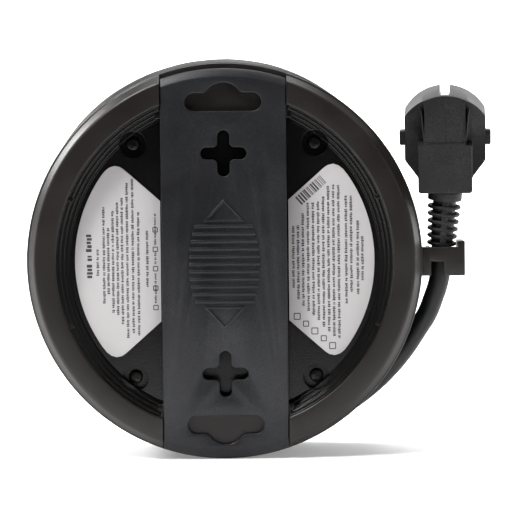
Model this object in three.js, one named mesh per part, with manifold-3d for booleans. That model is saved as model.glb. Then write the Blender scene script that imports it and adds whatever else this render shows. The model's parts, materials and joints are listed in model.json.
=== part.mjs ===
// Extension cord reel that is wound by hand: a hollow drum between two flanges, four earthed
// sockets in the front, a sliding strap across the back and a mains cord with an angled plug.
// Millimetres, +Z up. The back of the reel faces -Y and the sockets face +Y.
import * as THREE from 'three';
import { mergeVertices } from 'three/addons/utils/BufferGeometryUtils.js';
import Module from 'manifold-3d';

const wasm = await Module();
wasm.setup();

// ---- Driving dimensions ----
const rimRadius = 85; // both flanges
const gap = 0.3; // between pieces that touch
const wall = 2.2; // moulded walls
const dishDepth = 11; // recess in the back
const dishMouthRadius = 73.2;
const dishTerrace = 1.7; // width of each of the three ledges down to the floor
const ringFaceWidth = 7.3;
const rimBevelDepth = 4.8;
const coreRadius = 68.4; // the drum that the cord is wound on
const cordDiameter = 8.8;
const cordPitch = 8.9;
const turnsAcross = 5;
const frontFlange = 5;
const panelProud = 1.5;
const panelRadius = 70;

const strapHalfWidth = 26.9;
const strapEndRadius = 83.7;
const strapThickness = 3;
const strapRest = -0.9; // the strap stands a little low of the middle
const strapTravel = 21; // each way
const ribHeight = 0.8;
const ribPitch = 3.23;
const ribCount = 11;
const ribWidth = 1.1;
const ribHalfLength = 15.1; // the middle rib; the end ones are shorter
const ribEndHalfLength = 12.7;
const arrowBase = 18.3;
const arrowTip = 27.7;
const arrowHalfBase = 8.8;
const arrowLine = 0.8;
const keyholeCentre = 47.3;
const keyholeArm = 9.9;
const keyholeWidth = 5.2;
const keyholeRadius = 4.6;
const slotHalfWidth = 16.4;
const slotInner = 65.4;
const slotHeight = 7.8;
const slotBumpRadius = 8.6;
const slotBumpTop = 77.6;
const railHalfWidth = 18; // inner faces of the two rails under the strap
const railWall = 2;
const railLip = 2;
const hookHalfLength = 34;

const screwX = 39.2; // the four case screws
const screwZ = 50.4;
const wellRadius = 5.8;
const wellDepth = 17;
const wellWall = 1.2;
const screwHeadRadius = 3;
const screwHeadHeight = 2.3;
const screwRadius = 1.5;
const screwLength = 18;
const columnRadius = 3.4;

const labelRadius = 64.6;
const labelThickness = 0.4;
const labelInner = 27.6; // straight edge beside the strap
const labelTipHeight = 41;
const labelCutHeight = 26;

const socketCentreRadius = 34;
const socketRadius = 19.5;
const socketDepth = 17.5;
const socketWall = 1.8;
const pinSpacing = 19;
const pinHoleRadius = 2.9;
const pinReach = 19;
const shutterThickness = 2;
const shutterTravel = 6.5;
const stripThickness = 0.8; // brass and steel strip
const carrierRadius = 58;
const postRadius = 3.4;
const postCentre = 53.5;

const buttonRadius = 4.8;
const buttonTravel = 2.5;
const buttonLength = 10.6;
const cutoutRadius = 10.8;
const cutoutLength = 25;

const clipReach = 103.5; // outer face of the cord clip, from the reel's axis
const clipWall = 3;
const clipChannel = 12.2;
const clipTop = 7.7;
const clipBottom = -7.3;
const clipFront = 7.4; // depth of the clip's back wall
const cordDepth = 17.65; // depth of the cord's middle where it stands in the clip

const plugX = 97; // middle of the plug's pin face, from the reel's axis
const plugDepth = 36.1;
const plugZ = 57.5;
const plugNeck = 23.4; // from there down to the end of its neck
const plugTilt = 9; // degrees, top towards the back
const plugRadius = 20;
const plugHalfWidth = 17.4; // across the flats
const plugThickness = 21;
const plugBack = 34; // pin face to the back of the body
const plugPinRadius = 2.4;

// ---- Worked out from them ----
const grooveStart = dishDepth + wall;
const grooveWidth = (turnsAcross + 0.5) * cordPitch;
const grooveEnd = grooveStart + grooveWidth;
const flangeFace = grooveEnd + frontFlange;
const panelFace = flangeFace + panelProud;
const totalDepth = panelFace;
const axisX = -(clipReach - rimRadius) / 2; // keeps the shell's box centred on the origin
const strapFace = ribHeight;
const strapBack = strapFace + strapThickness;
const notchFloor = strapBack + gap;
const socketFloor = panelFace - socketDepth;
const cupBack = socketFloor - 2;
const shutterBack = cupBack - gap - shutterThickness;
const earthWebBack = shutterBack - gap - stripThickness;
const carrierBack = earthWebBack - gap - 2;
const busFront = socketFloor - pinReach - 1.2;
const busBack = busFront - stripThickness;
const coverBack = busBack - gap - 2;
const pinCircle = Math.hypot(socketCentreRadius, pinSpacing / 2);
const pinAngle = THREE.MathUtils.radToDeg(Math.atan2(pinSpacing / 2, socketCentreRadius));
const wellAngle = THREE.MathUtils.radToDeg(Math.atan2(screwZ, screwX));

// ---- Solids ----
const segments = 40;

// A closed solid from a geometry: shared vertices merged, faces pointing out.
function solid(geometry) {
  const bare = geometry.clone();
  bare.deleteAttribute('normal');
  bare.deleteAttribute('uv');
  const merged = mergeVertices(bare, 1e-4);
  const points = merged.attributes.position.array;
  const index = merged.index.array;
  const corners = [];
  for (let i = 0; i < index.length; i += 3) {
    const [a, b, c] = [index[i], index[i + 1], index[i + 2]];
    if (a !== b && b !== c && c !== a) {
      corners.push(a, b, c);
    }
  }
  const [p, q, r] = [new THREE.Vector3(), new THREE.Vector3(), new THREE.Vector3()];
  let volume = 0;
  for (let i = 0; i < corners.length; i += 3) {
    p.fromArray(points, corners[i] * 3);
    q.fromArray(points, corners[i + 1] * 3);
    r.fromArray(points, corners[i + 2] * 3);
    volume += p.dot(q.cross(r));
  }
  if (volume < 0) {
    corners.reverse();
  }
  return new wasm.Manifold(new wasm.Mesh({
    numProp: 3,
    vertProperties: new Float32Array(points),
    triVerts: new Uint32Array(corners),
  }));
}

function join(...solids) {
  return solids.reduce((whole, next) => whole.add(next));
}

function cut(whole, ...tools) {
  return tools.reduce((rest, tool) => rest.subtract(tool), whole);
}

// Block between two corners, each given as [x, depth, z].
function block(low, high) {
  const size = high.map((value, i) => value - low[i]);
  const geometry = new THREE.BoxGeometry(...size);
  geometry.translate(...low.map((value, i) => value + size[i] / 2));
  return solid(geometry);
}

// Round bar along the depth, between two depths.
function rod(radius, start, end, x = 0, z = 0, sides = 20) {
  const geometry = new THREE.CylinderGeometry(radius, radius, end - start, sides);
  geometry.rotateY(Math.PI / sides);
  geometry.translate(x, (start + end) / 2, z);
  return solid(geometry);
}

// Revolved about the reel's axis from [radius, depth] points; facets touch the true radius.
function turned(profile, sides = segments) {
  const reach = 1 / Math.cos(Math.PI / sides);
  const points = profile.map(([radius, depth]) => new THREE.Vector2(radius * reach, depth));
  points.push(points[0].clone());
  const geometry = new THREE.LatheGeometry(points, sides, Math.PI / sides);
  return solid(geometry);
}

// Flat plate of a shape drawn in x and z, between two depths.
function plate(shape, start, end, curveSegments = 12) {
  const geometry = new THREE.ExtrudeGeometry(shape, {
    depth: end - start,
    bevelEnabled: false,
    curveSegments,
  });
  geometry.rotateX(Math.PI / 2);
  geometry.translate(0, end, 0);
  return solid(geometry);
}

function polygon(points) {
  return new THREE.Shape(points.map(([x, z]) => new THREE.Vector2(x, z)));
}

// Round bar along a smooth line through points [x, depth, z].
function tube(points, radius, steps, sides = 8) {
  const path = new THREE.CatmullRomCurve3(points.map((point) => new THREE.Vector3(...point)));
  const section = new THREE.Shape();
  section.absarc(0, 0, radius, 0, Math.PI * 2, false);
  const geometry = new THREE.ExtrudeGeometry(section, {
    steps,
    extrudePath: path,
    curveSegments: sides / 2,
    bevelEnabled: false,
  });
  return solid(geometry);
}

// Turned about the reel's axis by an angle in degrees, from +X towards +Z.
function around(body, degrees) {
  return body.rotate([0, -degrees, 0]);
}

const finishes = {
  shell: { color: 0x2b2726, roughness: 0.5, metalness: 0 },
  strap: { color: 0x2c2d30, roughness: 0.5, metalness: 0 },
  front: { color: 0x232323, roughness: 0.45, metalness: 0 },
  insert: { color: 0x1c1c1c, roughness: 0.4, metalness: 0 },
  carrier: { color: 0xd8d4c8, roughness: 0.6, metalness: 0 },
  label: { color: 0xd4d0d0, roughness: 0.35, metalness: 0 },
  steel: { color: 0x9a9a9a, roughness: 0.35, metalness: 1 },
  brass: { color: 0xb08d3e, roughness: 0.35, metalness: 1 },
  button: { color: 0xb01e18, roughness: 0.35, metalness: 0 },
  cutout: { color: 0x202020, roughness: 0.5, metalness: 0 },
  cord: { color: 0x1b1d1b, roughness: 0.45, metalness: 0 },
  plug: { color: 0x191919, roughness: 0.4, metalness: 0 },
  brown: { color: 0x5a3320, roughness: 0.5, metalness: 0 },
  blue: { color: 0x1f5fa8, roughness: 0.5, metalness: 0 },
  green: { color: 0x7fae2e, roughness: 0.5, metalness: 0 },
};

const reel = new THREE.Group();
reel.position.set(axisX, -totalDepth / 2, rimRadius);

function piece(name, body, finish, parent = reel) {
  const { vertProperties, triVerts } = body.getMesh();
  const geometry = new THREE.BufferGeometry();
  geometry.setAttribute('position', new THREE.BufferAttribute(vertProperties, 3));
  geometry.setIndex(new THREE.BufferAttribute(triVerts, 1));
  geometry.computeVertexNormals();
  const mesh = new THREE.Mesh(geometry, new THREE.MeshStandardMaterial(finishes[finish]));
  mesh.name = name;
  parent.add(mesh);
  return mesh;
}

// ---- Back shell: flange ring, dish, strap guides, screw wells and the cord clip ----
const floorRadius = dishMouthRadius - 1 - 3 * dishTerrace;
const terraceRise = dishDepth / 4;
const ringFaceOuter = dishMouthRadius + ringFaceWidth;
const backOutline = [[0, dishDepth]];
for (let i = 0; i < 4; i += 1) {
  const radius = floorRadius + i * dishTerrace;
  backOutline.push([radius, dishDepth - i * terraceRise]);
  backOutline.push([radius, i < 3 ? dishDepth - (i + 1) * terraceRise : 1]);
}
backOutline.push(
  [dishMouthRadius, 0],
  [ringFaceOuter, 0],
  [ringFaceOuter + 1.3, 0.6],
  [rimRadius - 0.6, rimBevelDepth - 0.8],
  [rimRadius, rimBevelDepth],
  [rimRadius, grooveStart],
);
const backEnvelope = turned([...backOutline, [0, grooveStart]]);
const flangeHollow = turned([
  [dishMouthRadius + 1.4, wall + 0.2],
  [ringFaceOuter - 0.3, wall + 0.2],
  [rimRadius - wall, rimBevelDepth + 0.6],
  [rimRadius - wall, grooveStart + 1],
  [floorRadius + 3.1, grooveStart + 1],
]);

function strapNotch(side, clearance) {
  const low = side > 0 ? floorRadius - 14 : -rimRadius - 5;
  const high = side > 0 ? rimRadius + 5 : -floorRadius + 14;
  const half = strapHalfWidth + clearance;
  return block([-half, -1, low], [half, notchFloor + (clearance - gap), high]);
}

function backShell() {
  let shell = backEnvelope.subtract(flangeHollow);
  for (let i = 0; i < 8; i += 1) {
    const rib = block([floorRadius + 3, 1.5, -0.8], [rimRadius - 1, grooveStart, 0.8]);
    shell = shell.add(around(rib, 22.5 + i * 45).intersect(backEnvelope));
  }
  for (const side of [1, -1]) {
    shell = shell.add(strapNotch(side, gap + wall).intersect(backEnvelope));
    shell = shell.subtract(strapNotch(side, gap));
  }
  for (const side of [1, -1]) {
    const inner = side * railHalfWidth;
    const outer = side * (railHalfWidth + railWall);
    const lip = side * (railHalfWidth + railWall + railLip);
    const railEnd = hookHalfLength + strapTravel + 1.5;
    const [a, b] = [Math.min(inner, outer), Math.max(inner, outer)];
    const [c, d] = [Math.min(inner, lip), Math.max(inner, lip)];
    shell = shell.add(block([a, notchFloor, -railEnd], [b, dishDepth + 0.5, railEnd]));
    shell = shell.add(block([c, notchFloor, -railEnd], [d, notchFloor + 1.8, railEnd]));
    for (const end of [1, -1]) {
      const z = end * railEnd;
      const [low, high] = [Math.min(z, z + end * 2), Math.max(z, z + end * 2)];
      const stop = Math.abs(lip) + gap + 1.8;
      const [e, f] = [Math.min(inner, side * stop), Math.max(inner, side * stop)];
      shell = shell.add(block([e, notchFloor, low], [f, dishDepth + 0.5, high]));
    }
  }
  const coreInside = turned([[0, 0], [coreRadius, 0], [coreRadius, 30], [0, 30]]);
  const pocketInside = turned([[0, 0], [coreRadius - 1, 0], [coreRadius - 1, 30], [0, 30]]);
  for (const [x, z] of wells()) {
    const body = rod(wellRadius + wellWall, dishDepth, wellDepth + 1.7, x, z);
    shell = shell.add(body.intersect(coreInside));
  }
  for (const [x, z] of wells()) {
    shell = shell.subtract(rod(wellRadius, -1, dishDepth, x, z));
    shell = shell.subtract(rod(wellRadius, dishDepth - 0.1, wellDepth, x, z).intersect(pocketInside));
    shell = shell.subtract(rod(screwRadius + gap, wellDepth - 1, wellDepth + 3, x, z, 10));
  }
  return cordClip(shell);
}

function wells() {
  return [[screwX, screwZ], [-screwX, screwZ], [-screwX, -screwZ], [screwX, -screwZ]];
}

// The clip holds the cord upright beside the rim. Its channel is open towards the front.
function cordClip(shell) {
  const inner = clipReach - clipWall - clipChannel;
  const depth = cordDepth + cordDiameter / 2 + 3;
  const web = block([rimRadius - 1.2, clipFront, clipBottom], [inner, grooveStart, clipTop]);
  const left = block([inner - 1.4, clipFront, clipBottom], [inner, depth, clipTop]);
  const right = block([clipReach - clipWall, clipFront, clipBottom], [clipReach, depth, clipTop]);
  const middle = (clipTop + clipBottom) / 2;
  const bar = block([inner - 1, clipFront, middle], [clipReach - 1, clipFront + 2.4, clipTop - 2.8]);
  const foot = block(
    [(inner + clipReach) / 2 - 1.6, clipFront, clipBottom],
    [clipReach - 1, clipFront + 2.4, middle + 1],
  );
  return join(shell, web, left, right, bar, foot);
}

// ---- Strap: slides up and down across the back ----
function keyhole(centre) {
  const arm = keyholeWidth / 2;
  const long = keyholeArm - arm;
  const holes = [rod(keyholeRadius, strapFace - 2, strapBack + 2, 0, centre, 16)];
  holes.push(block([-arm, strapFace - 2, centre - long], [arm, strapBack + 2, centre + long]));
  holes.push(block([-long, strapFace - 2, centre - arm], [long, strapBack + 2, centre + arm]));
  for (const [x, z] of [[long, 0], [-long, 0], [0, long], [0, -long]]) {
    holes.push(rod(arm, strapFace - 2, strapBack + 2, x, centre + z, 12));
  }
  return join(...holes);
}

function hangingSlot(side) {
  const round = slotHeight / 2;
  const middle = side * (slotInner + round);
  const long = slotHalfWidth - round;
  const bump = side * (slotBumpTop - slotBumpRadius);
  const level = side * (slotInner + slotHeight);
  const keep = side > 0
    ? block([-20, -5, middle], [20, 20, slotBumpTop + 5])
    : block([-20, -5, -slotBumpTop - 5], [20, 20, middle]);
  return join(
    block([-long, strapFace - 2, middle - round], [long, strapBack + 2, middle + round]),
    rod(round, strapFace - 2, strapBack + 2, long, middle, 12),
    rod(round, strapFace - 2, strapBack + 2, -long, middle, 12),
    rod(slotBumpRadius, strapFace - 2, strapBack + 2, 0, bump, 24).intersect(keep),
    block(
      [-1, strapFace - 2, Math.min(middle, level)],
      [1, strapBack + 2, Math.max(middle, level)],
    ),
  );
}

function strap() {
  const ends = turned([
    [0, strapFace],
    [strapEndRadius - 3.6, strapFace],
    [strapEndRadius, strapBack - 0.6],
    [strapEndRadius, strapBack],
    [0, strapBack],
  ]);
  const side = strapHalfWidth;
  const chamfer = 0.6;
  const band = plate(polygon([
    [-side, -rimRadius],
    [side, -rimRadius],
    [side, rimRadius],
    [-side, rimRadius],
  ]), strapFace + chamfer, strapBack);
  const face = block([-side + chamfer, strapFace, -rimRadius], [side - chamfer, strapBack, rimRadius]);
  let body = band.add(face).intersect(ends);
  for (const half of [1, -1]) {
    const lipInner = railHalfWidth + railWall + gap;
    const legInner = railHalfWidth + railWall + railLip + gap;
    const legOuter = legInner + 1.8;
    const hookTop = notchFloor + 1.8 + gap;
    const [a, b] = [Math.min(half * legInner, half * legOuter), Math.max(half * legInner, half * legOuter)];
    const [c, d] = [Math.min(half * lipInner, half * legOuter), Math.max(half * lipInner, half * legOuter)];
    body = body.add(block([a, strapBack - 1, -hookHalfLength], [b, hookTop + 1.6, hookHalfLength]));
    body = body.add(block([c, hookTop, -hookHalfLength], [d, hookTop + 1.6, hookHalfLength]));
  }
  for (let i = 0; i < ribCount; i += 1) {
    const step = i - (ribCount - 1) / 2;
    const share = Math.abs(step) / ((ribCount - 1) / 2);
    const half = THREE.MathUtils.lerp(ribHalfLength, ribEndHalfLength, share ** 2);
    const z = step * ribPitch;
    body = body.add(block([-half, 0, z - ribWidth / 2], [half, strapFace + 1, z + ribWidth / 2]));
  }
  for (const half of [1, -1]) {
    const outer = [[-arrowHalfBase, half * arrowBase], [arrowHalfBase, half * arrowBase]];
    const inner = [
      [-arrowHalfBase + 2.1 * arrowLine, half * (arrowBase + arrowLine)],
      [arrowHalfBase - 2.1 * arrowLine, half * (arrowBase + arrowLine)],
      [0, half * (arrowTip - 1.5 * arrowLine)],
    ];
    const frame = plate(polygon([...outer, [0, half * arrowTip]]), 0, strapFace + 1);
    body = body.add(frame.subtract(plate(polygon(inner), -1, strapFace)));
  }
  return cut(body, keyhole(keyholeCentre), keyhole(-keyholeCentre), hangingSlot(1), hangingSlot(-1));
}

// ---- Labels on the dish floor, each side of the strap ----
function label(side) {
  const shape = new THREE.Shape();
  const tip = Math.asin(labelTipHeight / labelRadius);
  const edge = side * labelInner;
  shape.moveTo(edge, -labelCutHeight);
  shape.lineTo(side * labelRadius * Math.cos(tip), -labelTipHeight);
  for (let i = -5; i <= 6; i += 1) {
    const angle = (i / 6) * tip;
    shape.lineTo(side * labelRadius * Math.cos(angle), labelRadius * Math.sin(angle));
  }
  shape.lineTo(edge, labelCutHeight);
  const low = dishDepth - gap - labelThickness;
  return plate(shape, low, low + labelThickness);
}

// ---- Screws ----
// A screw driven from the back: head towards the back, its underside at the given depth.
function screw(x, z, seat, headRadius, headHeight, radius, length) {
  const head = rod(headRadius, seat - headHeight, seat, x, z, 10);
  const shank = rod(radius, seat - 0.5, seat + length, x, z, 10);
  return head.add(shank);
}

// ---- Front shell: socket panel, front flange and the drum in one moulding ----
function frontShell() {
  const inside = coreRadius - 2.4;
  let shell = turned([
    [0, panelFace],
    [panelRadius, panelFace],
    [panelRadius + 2, flangeFace],
    [rimRadius - 1.5, flangeFace],
    [rimRadius, flangeFace - 1.5],
    [rimRadius, grooveEnd],
    [coreRadius, grooveEnd],
    [coreRadius, grooveStart + gap],
    [inside, grooveStart + gap],
    [inside, panelFace - 2.5],
    [0, panelFace - 2.5],
  ]);
  const core = turned([[0, 0], [coreRadius - 0.5, 0], [coreRadius - 0.5, 80], [0, 80]]);
  for (const [x, z] of wells()) {
    shell = shell.subtract(rod(wellRadius + wellWall + gap, 0, wellDepth + 1.7 + gap, x, z));
    const column = rod(columnRadius, wellDepth + 1.7 + gap, panelFace - 1, x, z, 16);
    shell = shell.add(column.intersect(core));
    shell = shell.subtract(rod(screwRadius + gap, wellDepth, wellDepth + screwLength + 3, x, z, 10));
  }
  for (let i = 0; i < 4; i += 1) {
    const post = rod(postRadius, carrierFrontDepth() + gap, panelFace - 1, postCentre, 0, 16);
    shell = shell.add(around(post, i * 90));
    const hole = rod(screwRadius + gap, carrierFrontDepth() - 1, panelFace - 5, postCentre, 0, 8);
    shell = shell.subtract(around(hole, i * 90));
    const mouth = rod(socketRadius + socketWall + gap, cupBack, panelFace + 1, socketCentreRadius, 0, 28);
    shell = shell.subtract(around(mouth, 45 + i * 90));
  }
  shell = shell.subtract(rod(buttonRadius + 2 + gap, 60, panelFace + 1));
  return shell.subtract(cordSlot());
}

function carrierFrontDepth() {
  return carrierBack + 2;
}

// The cord's way through the drum wall slants inwards, so that the cord bends gently.
const entryAngle = 175;
const entrySlant = 35;
function cordSlot() {
  const half = cordDiameter / 2 + 0.5;
  const way = block([-16, grooveStart - 1, -half], [34, grooveStart + cordDiameter + 1.2, half]);
  const [x, z] = entryPoint();
  return way.rotate([0, -(entryAngle - 90 - entrySlant), 0]).translate([x, 0, z]);
}

function entryPoint() {
  const angle = THREE.MathUtils.degToRad(entryAngle);
  const radius = coreRadius - 1.6;
  return [radius * Math.cos(angle), radius * Math.sin(angle)];
}

// ---- Socket inserts, shutters and contacts ----
// Each is drawn on the +X axis at the socket's place and then turned to its corner.
function socketCup() {
  const outside = socketRadius + socketWall;
  const [x, sides] = [socketCentreRadius, 28];
  let cup = rod(outside, cupBack, panelFace, x, 0, sides);
  cup = cup.add(rod(outside + 1.5, panelFace - 2.5 - gap - 2, panelFace - 2.5 - gap, x, 0, sides));
  cup = cup.subtract(rod(socketRadius, socketFloor, panelFace + 1, x, 0, sides));
  for (const side of [1, -1]) {
    const z = (side * pinSpacing) / 2;
    cup = cup.subtract(rod(pinHoleRadius, cupBack - 1, socketFloor + 1, x, z, 10));
    const slot = x + side * (socketRadius - 1);
    cup = cup.subtract(block([slot - 1.1, cupBack - 1, -3.3], [slot + 1, socketFloor + 1, 3.3]));
  }
  return cup;
}

function shutter() {
  const x = socketCentreRadius;
  const long = pinSpacing / 2 + pinHoleRadius + 1;
  const bar = block([x - 3.6, shutterBack, -long], [x + 3.6, shutterBack + shutterThickness, long]);
  const notch = block([x - 5, shutterBack - 1, -3], [x - 1, shutterBack + 3, 3]);
  return bar.subtract(notch);
}

function earthClip() {
  const x = socketCentreRadius;
  const reach = socketRadius - 0.6;
  const low = earthWebBack;
  const web = block([x - reach, low, -2.5], [x + reach, low + stripThickness, 2.5]);
  const legs = [1, -1].map((side) => {
    const outer = x + side * reach;
    const inner = outer - side * stripThickness;
    const top = socketFloor + 11;
    return block([Math.min(outer, inner), low, -2.5], [Math.max(outer, inner), top, 2.5]);
  });
  return join(web, ...legs);
}

// A bus strip: part of a ring with one fork for each socket's pin.
function busStrip(inner, outer, side) {
  const ring = turned([[inner, busBack], [outer, busBack], [outer, busFront], [inner, busFront]], 32);
  const opening = block([0, busBack - 1, -2], [outer + 5, busFront + 1, 2]);
  let strip = ring.subtract(around(opening, 0));
  const [near, far] = [Math.min(inner, pinCircle - 3), Math.max(outer, pinCircle + 3)];
  for (let i = 0; i < 4; i += 1) {
    const tab = block([near, busBack, -3.4], [far, busFront, 3.4]);
    const top = carrierBack - gap;
    const blades = [1, -1].map((way) => {
      const z = way * (plugPinRadius + 0.3);
      const [low, high] = [Math.min(z, z + way * 0.7), Math.max(z, z + way * 0.7)];
      return block([pinCircle - 3, busBack, low], [pinCircle + 3, top, high]);
    });
    strip = strip.add(around(join(tab, ...blades), 45 + i * 90 + side * pinAngle));
  }
  return strip;
}

const earthRing = { inner: 13, outer: 16.4 };
const carrierHole = earthRing.outer + gap + 0.3;

function contactCarrier() {
  const [low, high] = [carrierBack, carrierBack + 2];
  let carrier = turned([[carrierHole, low], [carrierRadius, low], [carrierRadius, high], [carrierHole, high]]);
  for (let i = 0; i < 4; i += 1) {
    for (const side of [1, -1]) {
      const hole = rod(pinHoleRadius + 0.3, low - 1, high + 1, pinCircle, 0, 8);
      carrier = carrier.subtract(around(hole, 45 + i * 90 + side * pinAngle));
    }
    const screwHole = rod(screwRadius + gap, low - 1, high + 1, postCentre, 0, 8);
    carrier = carrier.subtract(around(screwHole, i * 90));
  }
  return carrier;
}

function contactCover() {
  const [low, high] = [coverBack, coverBack + 2];
  let cover = turned([[carrierHole, low], [carrierRadius, low], [carrierRadius, high], [carrierHole, high]]);
  for (let i = 0; i < 4; i += 1) {
    const spacer = rod(postRadius, low, carrierBack - gap, postCentre, 0, 16);
    cover = cover.add(around(spacer, i * 90));
    const hole = rod(screwRadius + gap, low - 1, carrierBack + 1, postCentre, 0, 8);
    cover = cover.subtract(around(hole, i * 90));
  }
  for (const [radius, angle] of [liveJoint, neutralJoint]) {
    cover = cover.subtract(around(rod(2.2, low - 1, high + 1, radius, 0, 12), angle));
  }
  return cover;
}

const liveStrip = { inner: pinCircle + 4, outer: pinCircle + 8 };
const neutralStrip = { inner: pinCircle - 8.4, outer: pinCircle - 4.4 };
const liveJoint = [pinCircle + 6, 20];
const neutralJoint = [pinCircle - 6.4, 170];

// ---- Thermal cut-out with its reset button in the middle of the front ----
const cutoutFront = panelFace - 2.5 - gap;
const cutoutBack = cutoutFront - cutoutLength;
const discSeat = cutoutFront - 13.5;
function thermalCutout() {
  const body = rod(cutoutRadius, cutoutBack, cutoutFront);
  const neck = rod(buttonRadius + 2, cutoutFront - 1, panelFace - gap);
  const bore = rod(buttonRadius + gap, discSeat, panelFace + 1);
  return body.add(neck).subtract(bore);
}

function cutoutTerminal(side) {
  const x = side * 5;
  return block([x - 0.4, cutoutBack - gap - 7, -3], [x + 0.4, cutoutBack - gap, 3]);
}

// ---- Leads inside the drum ----
const leadRadius = 1.3;
const stubLength = 40;
const stubAngle = THREE.MathUtils.degToRad(entryAngle - 90 - entrySlant);
const cordInside = [0, 1].map((i) => entryPoint()[i] + [Math.cos(stubAngle), Math.sin(stubAngle)][i] * 2);
const stubDepth = grooveStart + cordPitch / 2;
const stubEnd = [0, 1].map((i) => cordInside[i] + [Math.cos(stubAngle), Math.sin(stubAngle)][i] * stubLength);

function innerCord() {
  const start = [cordInside[0], stubDepth, cordInside[1]];
  const end = [stubEnd[0], stubDepth, stubEnd[1]];
  const middle = start.map((value, i) => (value + end[i]) / 2);
  return tube([start, middle, end], cordDiameter / 2, 2, 12);
}

function onCircle([radius, degrees], depth) {
  const angle = THREE.MathUtils.degToRad(degrees);
  return [radius * Math.cos(angle), depth, radius * Math.sin(angle)];
}

function lead(shift, route) {
  const [x, z] = stubEnd;
  const [u, v] = [Math.cos(stubAngle), Math.sin(stubAngle)];
  const start = [x + u * gap - v * shift, stubDepth, z + v * gap + u * shift];
  const next = [start[0] + u * 2, stubDepth, start[2] + v * 2];
  return tube([start, next, ...route], leadRadius, 12, 6);
}

// The clamp presses the cord against the back shell: a saddle on two screws.
function clampPlace(along, across) {
  const [u, v] = [Math.cos(stubAngle), Math.sin(stubAngle)];
  return [cordInside[0] + u * along - v * across, cordInside[1] + v * along + u * across];
}

const clampAlong = 31;
const clampSpread = cordDiameter / 2 + 2.8;
const clampFront = stubDepth + cordDiameter / 2 + gap + 2.4;
function cordClamp() {
  const reach = cordDiameter / 2 + 5.5;
  const inner = cordDiameter / 2 + gap;
  let saddle = block([-4, grooveStart + gap, -reach], [4, clampFront, reach]);
  saddle = saddle.subtract(block([-5, grooveStart - 1, -inner], [5, stubDepth + inner, inner]));
  for (const side of [1, -1]) {
    const z = side * clampSpread;
    saddle = saddle.subtract(rod(screwRadius + gap, 0, clampFront + 1, 0, z, 12));
  }
  const [x, z] = clampPlace(clampAlong, 0);
  return saddle.rotate([0, -THREE.MathUtils.radToDeg(stubAngle), 0]).translate([x, 0, z]);
}

function clampScrew(side) {
  const [x, z] = clampPlace(clampAlong, side * clampSpread);
  const head = rod(2.9, clampFront + gap, clampFront + gap + 1.8, x, z, 10);
  return head.add(rod(screwRadius, grooveStart + gap, clampFront + 1, x, z, 10));
}

// ---- Cord: the winding, and the tail from it to the plug ----
// The winding stands a little high and to the left on the drum, where its turns bulge.
const windingShift = [-1, 1.4];
const windingOuter = 86.1;
function cordWinding() {
  const inner = coreRadius + Math.hypot(...windingShift) + gap;
  const ring = turned([
    [inner, grooveStart + gap],
    [windingOuter, grooveStart + gap],
    [windingOuter, grooveEnd - gap],
    [inner, grooveEnd - gap],
  ]);
  return ring.translate([windingShift[0], 0, windingShift[1]]);
}

// Chosen points of the tail, from the winding up through the clip to the strain relief.
const tailPoints = [
  [83.6, 21.6, -31],
  [87.6, 20.6, -24.6],
  [90.4, 19.4, -17.4],
  [92.7, 18.2, -10],
  [93.8, 17.75, -2],
  [93.95, cordDepth, 7.6],
];

// ---- Strain relief and plug ----
// Drawn upright about the plug's own middle and then tilted as it hangs on the cord.
const reliefBottom = [93.95, cordDepth, 8.6];
const reliefTop = [95.6, 14.9, 29.8];
const reliefRibs = 6;
const reliefRadius = 7.2;
const reliefEndRadius = 5.2;

function strainRelief() {
  const start = new THREE.Vector3(...reliefBottom);
  const end = new THREE.Vector3(...reliefTop);
  const length = start.distanceTo(end);
  const pitch = (length - 3) / reliefRibs;
  const profile = [[0, 0]];
  for (let i = 0; i < reliefRibs; i += 1) {
    const low = i * pitch;
    const radius = THREE.MathUtils.lerp(reliefEndRadius + 1.2, reliefRadius, i / (reliefRibs - 1));
    profile.push([radius - 1.6, low], [radius - 1.6, low + pitch * 0.35]);
    profile.push([radius, low + pitch * 0.35], [radius, low + pitch]);
  }
  profile.push([reliefRadius + 0.2, length - 3], [reliefRadius + 0.2, length], [0, length]);
  const turn = new THREE.Quaternion().setFromUnitVectors(
    new THREE.Vector3(0, 1, 0),
    end.clone().sub(start).normalize(),
  );
  const points = profile.map(([radius, along]) => new THREE.Vector2(radius, along));
  const geometry = new THREE.LatheGeometry(points, 12);
  geometry.applyQuaternion(turn);
  geometry.translate(...start);
  return solid(geometry);
}

const plug = new THREE.Group();
plug.position.set(plugX, plugDepth, plugZ);
plug.rotation.x = THREE.MathUtils.degToRad(plugTilt);
reel.add(plug);

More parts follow.
